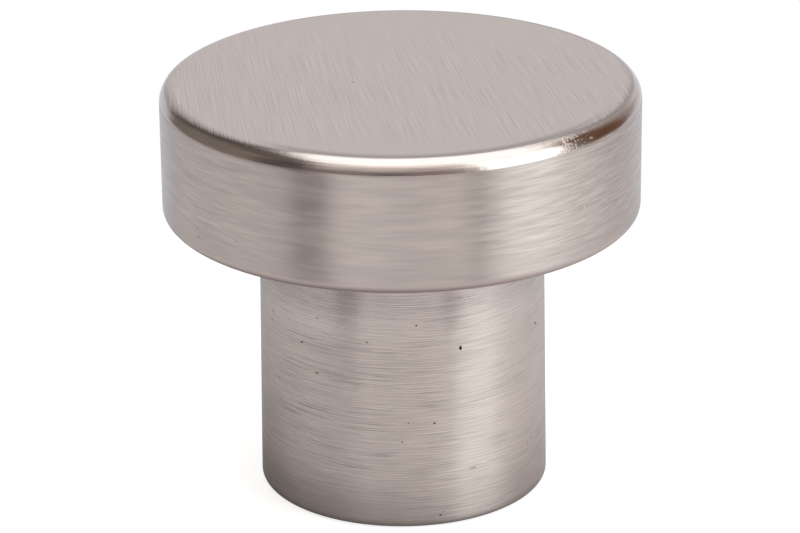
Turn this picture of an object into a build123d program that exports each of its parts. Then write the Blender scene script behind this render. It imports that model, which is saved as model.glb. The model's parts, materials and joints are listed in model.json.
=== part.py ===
"""Cabinet knob made in one piece: a round flat head with eased edges on a plain stem.

The stem's foot sits flat on a door or drawer front. A screw comes through the front from
behind and goes into the tapped hole in the foot. The origin is the centre of the foot, and
+Z runs along the knob's axis, away from the front.
"""

import os
from math import radians, tan

from build123d import *

# Head, in millimetres as every length here
head_diameter = 30.0
head_thickness = 8.4
top_edge_radius = 1.0
under_edge_radius = 0.7

# Stem, a little wider at its foot than under the head
stem_length = 18.0
stem_foot_diameter = 18.3
stem_neck_diameter = 17.9
neck_fillet_radius = 0.4
foot_edge_radius = 0.4

# Tapped hole for an M4 screw, at the size of its tapping drill
hole_diameter = 3.3
hole_depth = 14.0
hole_mouth_diameter = 4.4
hole_mouth_angle = 90.0
drill_point_angle = 118.0

# Worked out from the sizes above
knob_height = stem_length + head_thickness
hole_radius = hole_diameter / 2
drill_point_length = hole_radius / tan(radians(drill_point_angle / 2))

with BuildPart() as knob:
    # Half of the section through the axis, with its corners sharp, turned about the axis
    with BuildSketch(Plane.XZ):
        with BuildLine():
            Polyline(
                (0, 0),
                (stem_foot_diameter / 2, 0),
                (stem_neck_diameter / 2, stem_length),
                (head_diameter / 2, stem_length),
                (head_diameter / 2, knob_height),
                (0, knob_height),
                close=True,
            )
        make_face()
    revolve(axis=Axis.Z)

    # Every corner of the section is eased: the foot, the neck, and the head's two edges
    rims = knob.edges().filter_by(GeomType.CIRCLE).group_by(Axis.Z)
    foot_edge = rims[0]
    neck_corner, under_edge = rims[1].sort_by(SortBy.RADIUS)
    top_edge = rims[-1]
    fillet(top_edge, top_edge_radius)
    fillet(under_edge, under_edge_radius)
    fillet(neck_corner, neck_fillet_radius)
    fillet(foot_edge, foot_edge_radius)

    # The hole runs up from the foot and ends in the point that the drill leaves
    foot_face = knob.faces().sort_by(Axis.Z)[0]
    with Locations(foot_face):
        CounterSinkHole(
            radius=hole_radius,
            counter_sink_radius=hole_mouth_diameter / 2,
            depth=hole_depth,
            counter_sink_angle=hole_mouth_angle,
        )
    with Locations((0, 0, hole_depth)):
        Cone(
            bottom_radius=hole_radius,
            top_radius=0,
            height=drill_point_length,
            align=(Align.CENTER, Align.CENTER, Align.MIN),
            mode=Mode.SUBTRACT,
        )

knob.part.label = "knob"
os.makedirs("parts", exist_ok=True)
export_step(knob.part, "parts/knob.step")
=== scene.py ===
"""Looks of a one-piece cabinet knob in brushed nickel.

The turned section is built again as a fine mesh, with the screw thread cut in its hole. Each zone
has its own finish: straight grain on the top, a polished edge, and grain running round the sides.
Lengths are in millimetres until they go into a mesh or a place.
"""

import json
from math import atan2, cos, dist, pi, radians, sin, tan
from typing import NamedTuple

import bpy
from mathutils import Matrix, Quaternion, Vector


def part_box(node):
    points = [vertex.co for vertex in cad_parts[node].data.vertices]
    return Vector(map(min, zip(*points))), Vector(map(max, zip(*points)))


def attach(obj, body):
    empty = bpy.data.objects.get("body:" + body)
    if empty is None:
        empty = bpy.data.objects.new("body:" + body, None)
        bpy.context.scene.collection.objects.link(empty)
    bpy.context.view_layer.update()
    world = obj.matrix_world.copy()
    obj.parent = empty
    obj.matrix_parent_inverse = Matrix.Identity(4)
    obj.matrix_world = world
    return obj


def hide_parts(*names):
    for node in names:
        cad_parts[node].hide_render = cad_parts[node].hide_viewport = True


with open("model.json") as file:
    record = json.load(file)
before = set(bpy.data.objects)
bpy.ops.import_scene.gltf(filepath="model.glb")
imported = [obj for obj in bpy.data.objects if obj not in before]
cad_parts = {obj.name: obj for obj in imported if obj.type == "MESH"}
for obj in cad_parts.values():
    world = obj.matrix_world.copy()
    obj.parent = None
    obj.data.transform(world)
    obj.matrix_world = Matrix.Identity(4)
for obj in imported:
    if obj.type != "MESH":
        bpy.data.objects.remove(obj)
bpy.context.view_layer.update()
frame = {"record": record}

MM = 0.001
upright = Vector((0.0, 0.0, 1.0))
low_corner, high_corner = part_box("knob")
screw_hole = next(mount for mount in frame["record"]["mounts"] if mount["name"] == "screw_hole")

# Head and stem
head_radius = (high_corner.x - low_corner.x) / 2 / MM
knob_height = high_corner.z / MM
stem_length = 18.0
stem_foot_radius = 9.15
stem_neck_radius = 8.95
stem_mean_radius = (stem_foot_radius + stem_neck_radius) / 2
top_edge_radius = 1.0
under_edge_radius = 0.7
neck_fillet_radius = 0.4
foot_edge_radius = 0.4

# Screw hole, with a right-hand thread from its mouth on
hole_radius = screw_hole["dims"]["r_mm"]
hole_depth = 14.0
mouth_depth = hole_depth - screw_hole["dims"]["length_mm"]
mouth_radius = hole_radius + mouth_depth
drill_point_angle = radians(118)
thread_pitch = 0.7
thread_depth = 0.35
thread_length = 11.5
thread_run_in = 0.5
thread_crest_share = 0.25
thread_root_share = 0.125

# How finely the mesh follows the section
segments = 192
flat_steps = 4
stem_steps = 8
edge_steps = 24
small_edge_steps = 12
thread_steps_per_pitch = 12
rim_margin = 0.05
sharp_angle = radians(30)

# The polish stops short of the side, where the grain comes up over the edge
polished_steps = 22


class Ring(NamedTuple):
    """One ring of the turned mesh, with the share of the thread's depth that is cut there."""

    radius: float
    height: float
    cut: float = 0.0


class Patch(NamedTuple):
    """The part of the texture map that a zone takes up."""

    left: float
    bottom: float
    right: float
    top: float


class Zone(NamedTuple):
    """A stretch of the section: its finish, its rings from where the last zone ended, and its patch."""

    finish: str
    rings: list
    patch: Patch


top_patch = Patch(0.01, 0.61, 0.59, 0.99)
edge_patch = Patch(0.0, 0.51, 1.0, 0.60)
head_patch = Patch(0.0, 0.28, 1.0, 0.50)
stem_patch = Patch(0.0, 0.01, 1.0, 0.27)
underside_patch = Patch(0.61, 0.87, 1.0, 0.99)
foot_patch = Patch(0.61, 0.74, 1.0, 0.86)
hole_patch = Patch(0.61, 0.61, 1.0, 0.73)


def straight(start, end, steps=flat_steps):
    """Rings from start to end, with one close to each end so that the shading stays flat."""
    margin = rim_margin / dist(start[:2], end[:2])
    shares = [margin, *(step / steps for step in range(1, steps)), 1 - margin, 1]
    return [Ring(*(a + (b - a) * share for a, b in zip(start[:2], end[:2]))) for share in shares]


def eased(before, corner, after, radius, steps):
    """Rings of the arc that rounds a corner of the section."""
    to_before, to_after = ((Vector(point) - Vector(corner)).normalized() for point in (before, after))
    half_angle = to_before.angle(to_after) / 2
    centre = Vector(corner) + (to_before + to_after).normalized() * radius / sin(half_angle)
    start = Vector(corner) + to_before * radius / tan(half_angle) - centre
    sweep = (pi - 2 * half_angle) * (1 if start.x * to_before.y - start.y * to_before.x < 0 else -1)
    first = atan2(start.y, start.x)
    angles = (first + sweep * step / steps for step in range(steps + 1))
    return [Ring(centre.x + radius * cos(angle), centre.y + radius * sin(angle)) for angle in angles]


def threaded(start, length):
    """Rings up a threaded hole. The thread starts and ends at no depth."""
    steps = round(length / thread_pitch * thread_steps_per_pitch)
    heights = [length * step / steps for step in range(1, steps + 1)]
    cuts = [min(1.0, height / thread_run_in, (length - height) / thread_run_in) for height in heights]
    return [Ring(start.radius, start.height + height, cut) for height, cut in zip(heights, cuts)]


def thread_cut(height, turn):
    """How deep the thread is at a height and a share of a turn, from 0 at its crest to 1 at its root."""
    wave = abs(2 * ((height / thread_pitch - turn) % 1) - 1)
    flank = (wave - thread_crest_share) / (1 - thread_crest_share - thread_root_share)
    return min(1.0, max(0.0, flank))


def knob_zones():
    """The section from the middle of the top, round the outside and up the hole."""
    top_centre = (0.0, knob_height)
    top_corner = (head_radius, knob_height)
    under_corner = (head_radius, stem_length)
    neck_corner = (stem_neck_radius, stem_length)
    foot_corner = (stem_foot_radius, 0.0)
    mouth_rim = Ring(mouth_radius, 0.0)
    mouth_end = Ring(hole_radius, mouth_depth)
    hole_end = Ring(hole_radius, hole_depth)
    drill_point = Ring(0.0, hole_depth + hole_radius / tan(drill_point_angle / 2))

    edge = eased(top_centre, top_corner, under_corner, top_edge_radius, edge_steps)
    under_edge = eased(top_corner, under_corner, neck_corner, under_edge_radius, small_edge_steps)
    neck = eased(under_corner, neck_corner, foot_corner, neck_fillet_radius, small_edge_steps)
    foot_edge = eased(neck_corner, foot_corner, mouth_rim[:2], foot_edge_radius, small_edge_steps)
    thread = threaded(mouth_end, thread_length)

    head_side = edge[polished_steps:] + straight(edge[-1], under_edge[0]) + under_edge[1:]
    stem_side = neck[1:] + straight(neck[-1], foot_edge[0], stem_steps) + foot_edge[1:]
    hole_side = [mouth_end, *thread, *straight(thread[-1], hole_end, 1), drill_point]
    return [
        Zone("straight_grain", straight(top_centre, edge[0]), top_patch),
        Zone("polished_edge", edge[1:polished_steps], edge_patch),
        Zone("head_grain", head_side, head_patch),
        Zone("turned", straight(under_edge[-1], neck[0]), underside_patch),
        Zone("stem_grain", stem_side, stem_patch),
        Zone("turned", straight(foot_edge[-1], mouth_rim), foot_patch),
        Zone("cut_thread", hole_side, hole_patch),
    ]


def on_ring(ring, column):
    """A point of the mesh, in millimetres. Columns are counted round from the back."""
    turn = column / segments
    radius = ring.radius + ring.cut * thread_depth * thread_cut(ring.height, turn)
    angle = pi / 2 + 2 * pi * turn
    return Vector((radius * cos(angle), radius * sin(angle), ring.height))


def map_place(zone, ring, column, share):
    """Where a point lies on the texture map: the top as seen from above, every other zone unrolled."""
    left, bottom, right, top = zone.patch
    across, along = column / segments, share
    if zone.finish == "straight_grain":
        point = on_ring(ring, column)
        across, along = (0.5 + offset / (2 * head_radius) for offset in point.xy)
    return left + (right - left) * across, bottom + (top - bottom) * along


def turned_piece(name, zones, finishes):
    """The knob as one closed mesh, with a finish for each zone."""
    slots = list(finishes)
    points, faces, face_slots, places = [], [], [], []

    def add_ring(ring):
        start = len(points)
        on_axis = ring.radius == 0
        points.extend(on_ring(ring, column) * MM for column in range(1 if on_axis else segments))
        return [start + (0 if on_axis else column % segments) for column in range(segments + 1)]

    last = Ring(0.0, knob_height)
    last_row = add_ring(last)
    for zone in zones:
        steps = [dist(a[:2], b[:2]) for a, b in zip([last, *zone.rings], zone.rings)]
        done = 0.0
        for ring, step in zip(zone.rings, steps):
            row = add_ring(ring)
            levels = (
                (last, last_row, done / sum(steps)),
                (ring, row, (done + step) / sum(steps)),
            )
            for column in range(segments):
                corners = {}
                for level, side in ((0, 0), (1, 0), (1, 1), (0, 1)):
                    level_ring, level_row, share = levels[level]
                    corners.setdefault(level_row[column + side], (level_ring, column + side, share))
                faces.append(list(corners))
                face_slots.append(slots.index(zone.finish))
                places.extend(map_place(zone, *corner) for corner in corners.values())
            last, last_row, done = ring, row, done + step

    mesh = bpy.data.meshes.new(name)
    mesh.from_pydata(points, [], faces)
    mesh.polygons.foreach_set("material_index", face_slots)
    mesh.polygons.foreach_set("use_smooth", [True] * len(faces))
    mesh.set_sharp_from_angle(angle=sharp_angle)
    texture_map = mesh.uv_layers.new(name="OFBake")
    texture_map.uv.foreach_set("vector", [value for place in places for value in place])
    for finish in finishes.values():
        mesh.materials.append(finish)
    piece = bpy.data.objects.new(name, mesh)
    bpy.context.scene.collection.objects.link(piece)
    return piece


class Socket:
    """An output of a shader node. Arithmetic on values adds Math nodes."""

    def __init__(self, shader, output):
        self.shader = shader
        self.output = output

    def maths(self, operation, *values):
        return self.shader.node("ShaderNodeMath", {"operation": operation}, dict(enumerate(values)))

    def __add__(self, other):
        return self.maths("ADD", self, other)

    def __radd__(self, other):
        return self.maths("ADD", other, self)

    def __sub__(self, other):
        return self.maths("SUBTRACT", self, other)

    def __rsub__(self, other):
        return self.maths("SUBTRACT", other, self)

    def __mul__(self, other):
        return self.maths("MULTIPLY", self, other)

    def __rmul__(self, other):
        return self.maths("MULTIPLY", other, self)

    def __truediv__(self, other):
        return self.maths("DIVIDE", self, other)

    def __rtruediv__(self, other):
        return self.maths("DIVIDE", other, self)

    def __abs__(self):
        return self.maths("ABSOLUTE", self)

    def or_more(self, other):
        return self.maths("MAXIMUM", self, other)

    def wave(self):
        return self.maths("SINE", self)


class Shader:
    """The node tree of a material or of the world, built up node by node."""

    def __init__(self, owner):
        owner.use_nodes = True
        self.tree = owner.node_tree
        self.tree.nodes.clear()

    def node(self, kind, settings=None, sockets=None, output=0):
        """Adds a node, sets it up, fills or links its sockets, and returns one of its outputs."""
        made = self.tree.nodes.new(kind)
        for name, value in (settings or {}).items():
            setattr(made, name, value)
        for name, value in (sockets or {}).items():
            entry = self.pick(made.inputs, name)
            if isinstance(value, Socket):
                self.tree.links.new(value.output, entry)
            else:
                entry.default_value = (*value, 1.0) if entry.type == "RGBA" else value
        return Socket(self, self.pick(made.outputs, output)) if made.outputs else None

    @staticmethod
    def pick(sockets, name):
        """A socket by its number, or by its identifier, which stays apart where names are shared."""
        if isinstance(name, int):
            return sockets[name]
        return next(socket for socket in sockets if name in (socket.identifier, socket.name))

    def vector(self, operation, *values, output="Vector"):
        return self.node("ShaderNodeVectorMath", {"operation": operation}, dict(enumerate(values)), output)

    def times(self, vector, factor):
        return self.vector("MULTIPLY", vector, (factor, factor, factor))

    def join(self, x, y, z):
        return self.node("ShaderNodeCombineXYZ", sockets={"X": x, "Y": y, "Z": z})

    def split(self, vector):
        sockets = {"Vector": vector}
        return [self.node("ShaderNodeSeparateXYZ", sockets=sockets, output=axis) for axis in "XYZ"]

    def from_axis(self, x, y):
        """How far a point lies from the knob's axis."""
        return self.vector("LENGTH", self.join(x, y, 0.0), output="Value")

    def fade(self, value, none, full):
        """0 where the value is at none, 1 where it is at full, and smooth between."""
        ends = {"Value": value, "From Min": none, "From Max": full}
        return self.node("ShaderNodeMapRange", {"interpolation_type": "SMOOTHSTEP"}, ends)

    def mix(self, first, second, share):
        """A colour between two colours."""
        sockets = {"Factor_Float": share, "A_Color": first, "B_Color": second}
        return self.node("ShaderNodeMix", {"data_type": "RGBA"}, sockets, "Result_Color")

    def noise(self, vector, detail):
        sockets = {"Vector": vector, "Scale": 1.0, "Detail": detail}
        return self.node("ShaderNodeTexNoise", sockets=sockets)


# Nickel with its faint warm tone, as reflected light
nickel = (0.52, 0.455, 0.435)
black = (0.0, 0.0, 0.0)
white = (1.0, 1.0, 1.0)


def toned(colour, factor):
    return tuple(factor * value for value in colour)


# The darkest and the lightest tone of each finish
belt_tones = toned(nickel, 0.82), toned(nickel, 1.18)
buffed_tones = toned(nickel, 0.84), toned(nickel, 1.10)
# Painted highlight: lighter tones for the front of the polished edge
painted_highlight_tones = toned(nickel, 1.30), toned(nickel, 1.55)
head_tones = toned(nickel, 0.81), toned(nickel, 1.20)
stem_tones = toned(nickel, 0.85), toned(nickel, 1.22)
turned_tones = toned(nickel, 0.88), toned(nickel, 1.06)
thread_tones = toned(nickel, 0.85), toned(nickel, 1.0)

# Dark strokes of the grain, and painted shade along edges and in corners
head_stroke_tone = toned(nickel, 0.6)
stem_stroke_tone = toned(nickel, 0.5)
rim_shade = toned(nickel, 0.62)
seam_shade = toned(nickel, 0.55)
low_head_shade = toned(nickel, 0.8)
under_edge_shade = (0.27, 0.21, 0.20)
neck_shade = toned(nickel, 0.4)
low_stem_shade = toned(nickel, 0.6)
foot_edge_shade = toned(nickel, 0.4)

# Marks of use and of the casting
grime = (0.015, 0.012, 0.011)
rust = (0.20, 0.10, 0.05)
stain = toned(nickel, 0.35)
smudge = toned(nickel, 0.72)
bright_scratch = toned(nickel, 1.25)
faint_scratch = toned(nickel, 1.1)


class Grain(NamedTuple):
    """Streaks of a finish: about how long and wide they are, and a seed that sets them apart."""

    length: float
    width: float
    seed: float = 0.0


# The grain of the top runs nearly from back to front: it leans to the right and fans out a little
top_grain_lean = 0.15
top_grain_fan = 0.004
belt_fine = Grain(6.0, 0.06)
belt_broad = Grain(9.0, 0.3, 7.0)
belt_line_groups = Grain(6.0, 0.35, 3.0)
belt_line_pitch = 0.17

# On the left and the right the belt has run over the top's edge, down to these depths
worn_left = 0.19
worn_right = 0.09
buffing = Grain(2.5, 0.06)

# Grain that runs round the sides
head_fine = Grain(2.0, 0.08)
head_broad = Grain(3.6, 0.38, 5.0)
head_strokes = Grain(2.2, 0.07, 9.0)
stem_fine = Grain(2.4, 0.06)
stem_broad = Grain(4.0, 0.35, 3.0)
stem_strokes = Grain(4.5, 0.055, 9.0)
stem_stroke_groups = (0.4, 0.4, 0.8)
stem_line_groups = Grain(2.4, 0.25)
stem_line_pitch = 0.15

# The tool's feed left rings on the stem, clearest at the neck
ring_pitch = 0.15
ring_breaks = Grain(0.7, 0.3, 6.0)
turned_rings = Grain(12.0, 0.14)
tap_marks = Grain(4.0, 0.06)

# The shader's tangent runs round the knob's axis, so a quarter turn spreads light across round grain
quarter_turn = 0.25
side_anisotropy = 0.85
turned_anisotropy = 0.7

# Noise seldom leaves the values between these two
noise_low = 0.3
noise_high = 0.7
streak_detail = 1.0
far_off = (31.0, 17.0, 5.0)


def new_finish(name):
    """A material with its shader, and the place on the knob in millimetres."""
    finish = bpy.data.materials.new(name)
    shader = Shader(finish)
    place = shader.node("ShaderNodeTexCoord", output="Object")
    return finish, shader, shader.times(place, 1 / MM)


def metal(shader, colour, roughness, relief, relief_depth, anisotropy=0.0, sway=0.0):
    """Ends a shader in bare metal. Relief is a height from 0 to 1 over a depth in millimetres.

    Sway turns the surface a little to the left or right, in radians, as single strokes of grain do.
    """
    normal = shader.node("ShaderNodeNewGeometry", output="Normal")
    tangent = shader.vector("CROSS_PRODUCT", upright, normal)
    turn = shader.vector("MULTIPLY", tangent, shader.join(sway, sway, sway))
    turned_normal = shader.vector("NORMALIZE", shader.vector("ADD", normal, turn))
    heights = {"Height": relief, "Distance": relief_depth * MM, "Normal": turned_normal}
    sockets = {
        "Base Color": colour,
        "Metallic": 1.0,
        "Roughness": roughness,
        "Anisotropic": anisotropy,
        "Anisotropic Rotation": quarter_turn,
        "Normal": shader.node("ShaderNodeBump", sockets=heights),
    }
    surface = shader.node("ShaderNodeBsdfPrincipled", sockets=sockets)
    shader.node("ShaderNodeOutputMaterial", sockets={"Surface": surface})


def streaks(shader, vector):
    """Noise spread out to reach from 0 to 1."""
    return shader.fade(shader.noise(vector, streak_detail), noise_low, noise_high)


def round_grain(shader, place, grain):
    """Streaks that run round the axis, from 0 to 1."""
    x, y, z = shader.split(place)
    across = (z + shader.from_axis(x, y)) / grain.width + grain.seed
    return streaks(shader, shader.join(x / grain.length, y / grain.length, across))


def fine_lines(shader, across, pitch, vector):
    """Lines side by side at a pitch, from -1 to 1. Each comes and goes as noise over the vector does."""
    turn = across * (2 * pi / pitch)
    even = 2 * streaks(shader, vector) - 1
    odd = 2 * streaks(shader, shader.vector("ADD", vector, far_off)) - 1
    return even * turn.wave() + odd * (turn + pi / 2).wave()


class SideMark(NamedTuple):
    """A mark on a side: its angle from the front to the right in degrees, height, and half its size."""

    angle: float
    height: float
    half_width: float
    half_height: float

    def spot(self, radius):
        angle = radians(self.angle)
        outward = Vector((sin(angle), -cos(angle), 0.0))
        along = Vector((cos(angle), sin(angle), 0.0))
        centre = outward * radius + upright * self.height
        return centre, along * self.half_width, upright * self.half_height


class TopMark(NamedTuple):
    """A mark on the top: its place, and half its size."""

    x: float
    y: float
    half_width: float
    half_depth: float

    def spot(self, height):
        centre = Vector((self.x, self.y, height))
        return centre, Vector((self.half_width, 0.0, 0.0)), Vector((0.0, self.half_depth, 0.0))


stem_marks = {
    grime: [
        SideMark(23.0, 11.83, 0.13, 0.20),
        SideMark(5.2, 13.64, 0.08, 0.09),
        SideMark(66.9, 11.46, 0.18, 0.10),
        SideMark(-63.9, 12.64, 0.15, 0.06),
        SideMark(-64.8, 12.05, 0.13, 0.05),
        SideMark(-44.1, 11.57, 0.16, 0.06),
        SideMark(-14.2, 12.44, 0.07, 0.07),
        SideMark(-0.6, 5.88, 0.06, 0.06),
        SideMark(11.8, 7.04, 0.08, 0.09),
        SideMark(14.1, 0.77, 0.11, 0.08),
        SideMark(-81.3, 9.50, 0.22, 0.07),
    ],
    stain: [
        SideMark(-35.9, 13.50, 0.07, 0.09),
        SideMark(1.8, 7.14, 0.08, 0.07),
        SideMark(-58.9, 8.43, 0.11, 0.07),
        SideMark(15.5, 0.97, 0.08, 0.06),
        SideMark(28.0, 3.61, 0.30, 0.05),
    ],
    smudge: [SideMark(58.8, 3.78, 0.10, 0.24), SideMark(61.9, 3.98, 0.24, 0.10)],
    rust: [SideMark(-36.2, 9.84, 0.21, 0.07), SideMark(12.3, 7.04, 0.06, 0.07)],
    bright_scratch: [
        SideMark(33.3, 3.80, 0.40, 0.04),
        SideMark(34.4, 2.54, 0.34, 0.04),
        SideMark(-40.9, 5.55, 0.04, 0.22),
    ],
}
head_marks = {
    grime: [SideMark(-55.3, 19.40, 0.10, 0.07), SideMark(-75.7, 23.93, 0.16, 0.07)],
    stain: [SideMark(-41.6, 20.14, 0.09, 0.07), SideMark(-55.6, 19.95, 0.20, 0.05)],
    faint_scratch: [SideMark(46.9, 21.72, 0.07, 0.30), SideMark(55.6, 21.50, 0.09, 0.32)],
}
top_marks = {
    stain: [TopMark(-2.93, -0.40, 0.13, 0.12)],
    bright_scratch: [TopMark(9.65, 0.16, 0.08, 0.12), TopMark(-2.90, -0.62, 0.12, 0.10)],
}

# A mark's outline is uneven, its core is full, and it shows only on its own side of the knob
mark_unevenness = 0.08
mark_noise_scale = 9.0
mark_core = 0.45
mark_half_depth = 9.0


def marked(shader, place, colour, marks, reach):
    """A colour with small uneven marks. Reach is the radius of the marked side, or the top's height."""
    sockets = {"Vector": place, "Scale": mark_noise_scale}
    rough = shader.node("ShaderNodeTexNoise", sockets=sockets, output="Color")
    rough = shader.vector("SUBTRACT", rough, (0.5, 0.5, 0.5))
    unevenness = (mark_unevenness, mark_unevenness, mark_unevenness)
    rough_place = shader.vector("MULTIPLY_ADD", rough, unevenness, place)
    for tone, spots in marks.items():
        for mark in spots:
            centre, along, across = mark.spot(reach)
            inward = along.cross(across).normalized() * mark_half_depth
            offset = shader.vector("SUBTRACT", rough_place, centre)
            steps = (
                shader.vector("DOT_PRODUCT", offset, side / side.length_squared, output="Value")
                for side in (along, across, inward)
            )
            away = shader.vector("LENGTH", shader.join(*steps), output="Value")
            colour = shader.mix(colour, tone, shader.fade(away, 1.0, mark_core))
    return colour


def belt_grain(shader, place):
    """Fine straight lines from a belt, from 0 to 1, which grow fainter to the front and the back."""
    x, y, _ = shader.split(place)
    across = (x + top_grain_lean * y) / (1 - top_grain_fan * y)

    def along_belt(grain):
        return shader.join(across / grain.width, y / grain.length, grain.seed)

    lines = fine_lines(shader, across, belt_line_pitch, along_belt(belt_line_groups))
    fine = streaks(shader, along_belt(belt_fine))
    broad = streaks(shader, along_belt(belt_broad))
    clear = 0.4 + 0.6 * shader.fade(abs(y + 1.5), 11.5, 6.0)
    return 0.5 + (0.21 * lines + 0.54 * (fine - 0.5) + 0.07 * (broad - 0.5)) * clear


def straight_grain():
    """The top: fine straight lines, and a darker line of painted shade along the front rim."""
    finish, shader, place = new_finish("straight_grain")
    x, y, _ = shader.split(place)
    streak = belt_grain(shader, place)
    colour = shader.mix(*belt_tones, streak)
    colour = marked(shader, place, colour, top_marks, knob_height)

    # Painted shade along the front rim, left off on the left, where the belt has run over the edge
    rim_radius = head_radius - top_edge_radius
    rim = shader.fade(shader.from_axis(x, y), rim_radius - 0.7, rim_radius)
    at_front = shader.fade(y, -4.0, -11.0)
    beside_wear = shader.fade(x, -9.0, -6.0)
    colour = shader.mix(colour, rim_shade, rim * at_front * beside_wear)
    metal(shader, colour, 0.28 + 0.1 * streak, streak, 0.001)
    return finish


def polished_edge():
    """The eased edge of the top: buffed bright, with a painted highlight at the front, but brushed like the
    top where the belt has run over it.
    """
    finish, shader, place = new_finish("polished_edge")
    x, y, z = shader.split(place)
    from_top = z - knob_height

    # Wear by the belt, with a ragged end and a dark seam below it, which is painted shade
    on_left = shader.fade(x, -0.3 * head_radius, -0.87 * head_radius)
    on_right = shader.fade(x, 0.5 * head_radius, head_radius)
    worn_depth = worn_left * on_left + worn_right * on_right
    streak = belt_grain(shader, place)
    ragged = (streak - 0.5) * worn_depth
    worn = shader.fade(from_top + ragged, -0.04 - 1.6 * worn_depth, 0.05 - 0.5 * worn_depth)
    seam = 4 * worn * (1 - worn)

    # Painted highlight, brightest at the front: high on the edge, and on the right all over it, where the
    # softbox shows in it
    across = shader.from_axis(x, y) - z
    buffed = streaks(shader, shader.join(x / buffing.length, y / buffing.length, across / buffing.width))
    between_wear = shader.fade(x, -8.0, -5.0) * shader.fade(x, 10.4, 9.4)
    high_or_right = shader.fade(from_top, -0.5, -0.25).or_more(shader.fade(x, 2.5, 4.5))
    painted_highlight = between_wear * shader.fade(y, 0.0, -5.0) * high_or_right
    colour = shader.mix(*buffed_tones, buffed)
    colour = shader.mix(colour, shader.mix(*painted_highlight_tones, buffed), painted_highlight)
    colour = shader.mix(colour, shader.mix(*belt_tones, streak), worn)
    colour = shader.mix(colour, seam_shade, seam * 0.8)

    # Rough pebbles in a crowd at the right end of the painted highlight, with a few stragglers
    crowd = 0.65 * shader.fade(x, 10.6, 10.2) + 0.35 * shader.fade(x, 11.8, 11.2)
    crowd = shader.fade(x, 9.4, 9.65) * crowd * shader.fade(y, 0.0, -6.0)
    pebbles = shader.noise(shader.times(place, 5.5), 0.0)
    pebbles = shader.fade(pebbles + 0.26 * crowd, 0.74, 0.86) * shader.fade(crowd, 0.0, 0.2)
    waves = shader.noise(shader.times(place, 2.2), 3.0)
    relief = 0.4 * waves + 0.25 * pebbles
    roughness = 0.13 + 0.05 * waves + 0.05 * buffed + 0.16 * worn + 0.45 * pebbles
    metal(shader, colour, roughness, relief * (1 - worn), 0.016)
    return finish


def head_grain():
    """The head's side: soft grain that runs round, with dark strokes beside the front, and painted shade
    low down.
    """
    finish, shader, place = new_finish("head_grain")
    x, _, z = shader.split(place)
    fine = round_grain(shader, place, head_fine)
    broad = round_grain(shader, place, head_broad)
    beside_front = 0.6 * shader.fade(x, -4.0, -12.0) + shader.fade(x, 4.0, 12.0)
    strokes = shader.fade(round_grain(shader, place, head_strokes), 0.65, 0.9) * beside_front
    fine_depth = 0.20 + 0.50 * beside_front
    broad_depth = 0.36 + 0.14 * shader.fade(x, 6.0, -6.0)
    streak = 0.5 + (fine - 0.5) * fine_depth + (broad - 0.5) * broad_depth
    colour = shader.mix(*head_tones, streak)
    colour = shader.mix(colour, head_stroke_tone, strokes * 0.4)
    colour = marked(shader, place, colour, head_marks, head_radius)

    # Painted shade: darker towards the head's lower edge, and darkest on the edge where it turns under
    low = shader.fade(z, stem_length + 3.0, stem_length + 0.6)
    under_edge = shader.fade(z, stem_length + 0.78, stem_length + 0.2)
    colour = shader.mix(colour, low_head_shade, 0.4 * low)
    colour = shader.mix(colour, under_edge_shade, under_edge)
    metal(shader, colour, 0.34 + 0.08 * streak, fine, 0.001, side_anisotropy, 0.01 * (fine - 0.5))
    return finish


def stem_grain():
    """The stem: fine rings, dark strokes in loose groups, pits of the casting, and painted shade under the
    head and at the foot.
    """
    finish, shader, place = new_finish("stem_grain")
    x, y, z = shader.split(place)
    length, width, _ = stem_line_groups
    lines = fine_lines(shader, z, stem_line_pitch, shader.join(x / length, y / length, z / width))
    fine = round_grain(shader, place, stem_fine)
    broad = round_grain(shader, place, stem_broad)
    near_neck = shader.fade(z, 11.0, 15.5)
    rings = (z * (2 * pi / ring_pitch)).wave() * (0.1 + 0.7 * near_neck)
    rings = rings * round_grain(shader, place, ring_breaks)
    depth = 1 - 0.3 * shader.fade(x, 1.0, 4.5)
    streak = 0.5 + (0.36 * lines + 0.88 * (fine - 0.5) + 0.05 * (broad - 0.5) + rings) * depth
    colour = shader.mix(*stem_tones, streak)

    strokes = shader.fade(round_grain(shader, place, stem_strokes), 0.62, 0.88)
    groups = shader.noise(shader.vector("MULTIPLY", place, stem_stroke_groups), 2.0)
    stroke_depth = 0.15 + 0.42 * shader.fade(groups, 0.35, 0.65)
    colour = shader.mix(colour, stem_stroke_tone, strokes * depth * stroke_depth)
    colour = marked(shader, place, colour, stem_marks, stem_mean_radius)

    # Painted shade: darker under the head, most at the sides and on the left
    beside_front = shader.fade(abs(x), 4.5, 8.5)
    under_head = 0.22 * shader.fade(z, 10.0, 15.0) * beside_front
    under_head = under_head + shader.fade(z, 12.8, 15.2) * (0.28 + 0.22 * shader.fade(x, 1.0, -4.0))
    # Painted shade: darker towards the foot and more on the left, with a dark line along the foot's edge
    low = shader.fade(z, 3.6, 1.0) * (0.22 + 0.34 * shader.fade(x, 4.0, -5.0))
    colour = shader.mix(colour, neck_shade, under_head)
    colour = shader.mix(colour, low_stem_shade, low)
    colour = shader.mix(colour, foot_edge_shade, shader.fade(z, 0.7, 0.0))
    roughness = 0.34 + 0.1 * fine - 0.1 * near_neck
    metal(shader, colour, roughness, fine, 0.0015, side_anisotropy, 0.012 * (fine - 0.5))
    return finish


def turned():
    """The underside of the head and the foot: rings from the lathe."""
    finish, shader, place = new_finish("turned")
    fine = round_grain(shader, place, turned_rings)
    colour = shader.mix(*turned_tones, fine)
    metal(shader, colour, 0.32 + 0.1 * fine, fine, 0.003, turned_anisotropy)
    return finish


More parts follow.
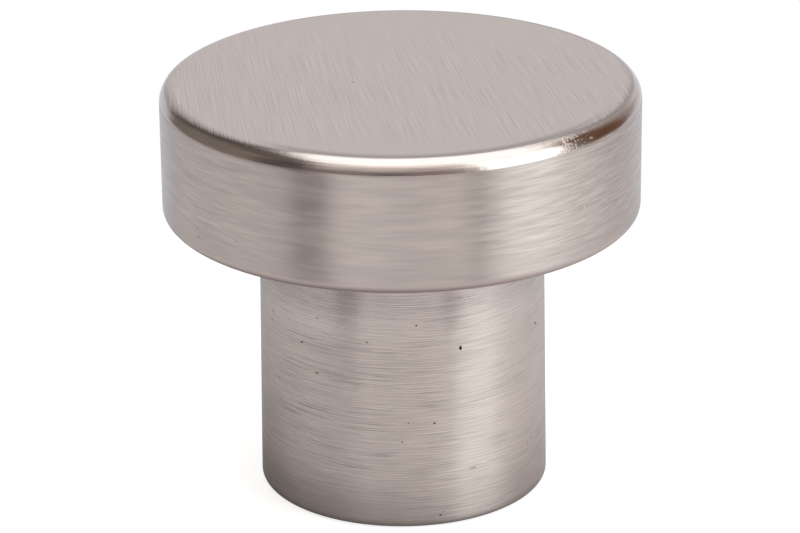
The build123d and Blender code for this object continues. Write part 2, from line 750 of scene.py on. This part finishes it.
def cut_thread():
    """The tapped hole: bare metal as the tap left it."""
    finish, shader, place = new_finish("cut_thread")
    fine = round_grain(shader, place, tap_marks)
    colour = shader.mix(*thread_tones, fine)
    metal(shader, colour, 0.3 + 0.12 * fine, fine, 0.002)
    return finish


class Panel(NamedTuple):
    """A flat panel of the studio as the knob sees it. Its sides are angles from the way that it faces."""

    azimuth: float
    elevation: float
    left: float
    right: float
    bottom: float
    top: float
    rim: float
    light: tuple


room = (0.72, 0.70, 0.69)
sweep = (1.15, 1.14, 1.13)
softbox = (1.50, 1.57, 1.54)
side_softbox = (2.3, 2.42, 2.36)
side_card = (1.28, 1.33, 1.31)
back_wall = (0.905, 0.885, 0.885)
back_corner = (0.42, 0.38, 0.37)
cool_left = (0.80, 0.83, 0.88)
cool_right = (0.86, 0.89, 0.94)
cool_back = (0.95, 0.98, 1.04)
camera_side = (0.36, 0.32, 0.30)
reddish_front = (0.42, 0.30, 0.28)
front_ceiling = (0.90, 0.84, 0.77)
brown_left = (0.18, 0.15, 0.135)
olive_left = (0.29, 0.26, 0.22)
brown_right = (0.20, 0.105, 0.058)
grey_right = (0.45, 0.40, 0.37)
dark_gap = (0.13, 0.11, 0.105)

# Between these sines of the elevation, the sweep goes over into the room
sweep_end = -0.40
room_start = 0.05

# Azimuths are measured round from the camera's side, to the right. Later panels stand before
# earlier ones.
panels = [
    Panel(180, 0, -40, 40, -20, 23, 6, back_wall),
    Panel(-150, 0, -22, 22, -60, 0, 10, cool_left),
    Panel(-115, 0, -14, 14, -60, 0, 10, white),
    Panel(150, 0, -22, 22, -60, 0, 10, cool_right),
    Panel(112, 0, -14, 14, -60, 0, 10, white),
    Panel(180, 0, -14, 14, -60, 0, 8, cool_back),
    Panel(-20, 0, -16, 14, -60, -20, 8, toned(white, 1.33)),
    Panel(10, 0, -10, 10, -60, -18, 8, toned(white, 1.05)),
    Panel(0, 0, -50, 50, -4, 34, 12, camera_side),
    Panel(-3, 0, -10, 10, 2, 24, 6, toned(camera_side, 0.7)),
    Panel(16, 0, -5, 5, 0, 34, 5, reddish_front),
    Panel(0, 0, -50, 50, 38, 120, 24, front_ceiling),
    Panel(0, 0, -50, 50, 66, 120, 16, toned(white, 1.4)),
    Panel(-155, 0, -12, 20, 40, 66, 8, back_corner),
    Panel(-95, 0, -50, 40, 14, 64, 6, brown_left),
    Panel(-95, 0, -40.5, 40, -8, 40, 6, brown_left),
    Panel(-95, 0, -33, 24, -8, 40, 7, olive_left),
    Panel(-56, 0, -10, 12, -8, 44, 7, dark_gap),
    Panel(-44, 0, -10, 9, -50, 4, 5, toned(dark_gap, 1.8)),
    Panel(40, 0, -8, 8, -50, 2, 4, toned(dark_gap, 2.5)),
    Panel(110, 0, -36, 34, 0, 58, 12, grey_right),
    Panel(106, 0, -12, 23, -6, 50, 6, brown_right),
    Panel(82, 0, -23, 28, -50, -5, 7, side_card),
    Panel(32, 30, 8, 46, -31, 38, 4, side_softbox),
    Panel(39, 90, 5, 36.5, -40, 25, 5, softbox),
    Panel(0, 63, -26, 30, 14, 86, 6, softbox),
]

# A panel is cut off where it would lie beside the knob or behind it
just_ahead = 0.02
barely_ahead = 0.001


def panel_share(shader, direction, panel):
    """1 on a panel, 0 off it, with a soft rim."""
    azimuth, elevation = radians(panel.azimuth), radians(panel.elevation)
    level = Vector((sin(azimuth), -cos(azimuth), 0.0))
    facing = level * cos(elevation) + upright * sin(elevation)
    right = Vector((cos(azimuth), sin(azimuth), 0.0))
    up = upright * cos(elevation) - level * sin(elevation)

    ahead, sideways, upwards = (
        shader.vector("DOT_PRODUCT", direction, axis, output="Value") for axis in (facing, right, up)
    )
    share = shader.fade(ahead, 0.0, just_ahead)
    for offset, low, high in ((sideways, panel.left, panel.right), (upwards, panel.bottom, panel.top)):
        angle = offset.maths("ARCTAN2", offset, ahead.or_more(barely_ahead))
        for side, inward in ((low, panel.rim), (high, -panel.rim)):
            share = share * shader.fade(angle, radians(side - inward), radians(side + inward))
    return share


def studio_world():
    """Soft studio light: white behind, softboxes above and to the right, dark gaps between."""
    world = bpy.data.worlds.new("studio")
    bpy.context.scene.world = world
    shader = Shader(world)
    direction = shader.node("ShaderNodeTexCoord", output="Generated")
    direction = shader.vector("NORMALIZE", direction)
    _, _, height = shader.split(direction)
    light = shader.mix(sweep, room, shader.fade(height, sweep_end, room_start))
    for panel in panels:
        light = shader.mix(light, panel.light, panel_share(shader, direction, panel))
    seen = shader.node("ShaderNodeLightPath", output="Is Camera Ray")
    light = shader.mix(light, white, seen)
    background = shader.node("ShaderNodeBackground", sockets={"Color": light, "Strength": 1.0})
    shader.node("ShaderNodeOutputWorld", sockets={"Surface": background})


class Shade(NamedTuple):
    """A round shade on the floor, which is full within one radius and gone beyond another."""

    x: float
    y: float
    full: float
    none: float


# The floor is a disc, open under the foot so that the foot can be seen from below
floor_radius = 45.0
floor_hole_radius = 8.5
floor_gap = 0.02
floor_white = (0.52, 0.52, 0.52)
floor_glow = 0.78
floor_glow_mirrored = 0.985
floor_shades = [Shade(-4.0, 6.0, 5.0, 33.0), Shade(-4.0, 34.0, 12.0, 46.0)]


def pale_finish():
    """A pale matt surface that keeps the knob's shadow, and lets the view through from below."""
    finish = bpy.data.materials.new("pale_floor")
    shader = Shader(finish)
    seen, in_gloss, in_glass = (
        shader.node("ShaderNodeLightPath", output=f"Is {kind} Ray")
        for kind in ("Camera", "Glossy", "Transmission")
    )
    place = shader.node("ShaderNodeTexCoord", output="Object")
    mirrored = floor_glow_mirrored
    for shade in floor_shades:
        middle = Vector((shade.x, shade.y, 0.0)) * MM
        away = shader.vector("DISTANCE", place, middle, output="Value")
        mirrored = mirrored * shader.fade(away, shade.full * MM, shade.none * MM)
    glow = (floor_glow * seen).or_more(mirrored * in_gloss.or_more(in_glass))
    glow = shader.mix(black, white, glow)
    matt = shader.node("ShaderNodeBsdfDiffuse", sockets={"Color": floor_white})
    glowing = shader.node("ShaderNodeEmission", sockets={"Color": glow, "Strength": 1.0})
    surface = shader.node("ShaderNodeAddShader", sockets={0: matt, 1: glowing})
    clear = shader.node("ShaderNodeBsdfTransparent")
    below = shader.node("ShaderNodeNewGeometry", output="Backfacing")
    surface = shader.node("ShaderNodeMixShader", sockets={0: below, 1: surface, 2: clear})
    shader.node("ShaderNodeOutputMaterial", sockets={"Surface": surface})
    return finish


def pale_floor():
    """The floor that the knob stands on."""
    points, faces = [], []
    for column in range(segments):
        angle = 2 * pi * column / segments
        for radius in (floor_hole_radius, floor_radius):
            points.append(Vector((radius * cos(angle), radius * sin(angle), -floor_gap)) * MM)
        inner, next_inner = 2 * column, 2 * ((column + 1) % segments)
        faces.append((inner, inner + 1, next_inner + 1, next_inner))
    mesh = bpy.data.meshes.new("pale_floor")
    mesh.from_pydata(points, [], faces)
    mesh.materials.append(pale_finish())
    floor = bpy.data.objects.new("pale_floor", mesh)
    bpy.context.scene.collection.objects.link(floor)


# Camera, fitted to the photograph's outline of the knob
camera_distance = 240.0
camera_elevation = radians(21.7)
camera_roll = -0.0102
camera_aim = Vector((-0.14, 0.0, 13.955))
camera_lens = 170.7
camera_sensor = 36.0
camera_clip_start = 0.01


def set_camera():
    """The camera in front of the knob, looking down on it a little."""
    data = bpy.data.cameras.new("camera")
    data.lens = camera_lens
    data.sensor_width = camera_sensor
    data.clip_start = camera_clip_start
    camera = bpy.data.objects.new("camera", data)
    back = Vector((0.0, -cos(camera_elevation), sin(camera_elevation)))
    camera.location = (camera_aim + back * camera_distance) * MM
    camera.rotation_mode = "QUATERNION"
    camera.rotation_quaternion = (-back).to_track_quat("-Z", "Y") @ Quaternion(upright, camera_roll)
    bpy.context.scene.collection.objects.link(camera)
    bpy.context.scene.camera = camera


makers = (straight_grain, polished_edge, head_grain, stem_grain, turned, cut_thread)
knob = turned_piece("brushed_knob", knob_zones(), {maker.__name__: maker() for maker in makers})
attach(knob, "root")
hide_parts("knob")

studio_world()
pale_floor()
set_camera()
bpy.context.scene.view_settings.view_transform = "Standard"
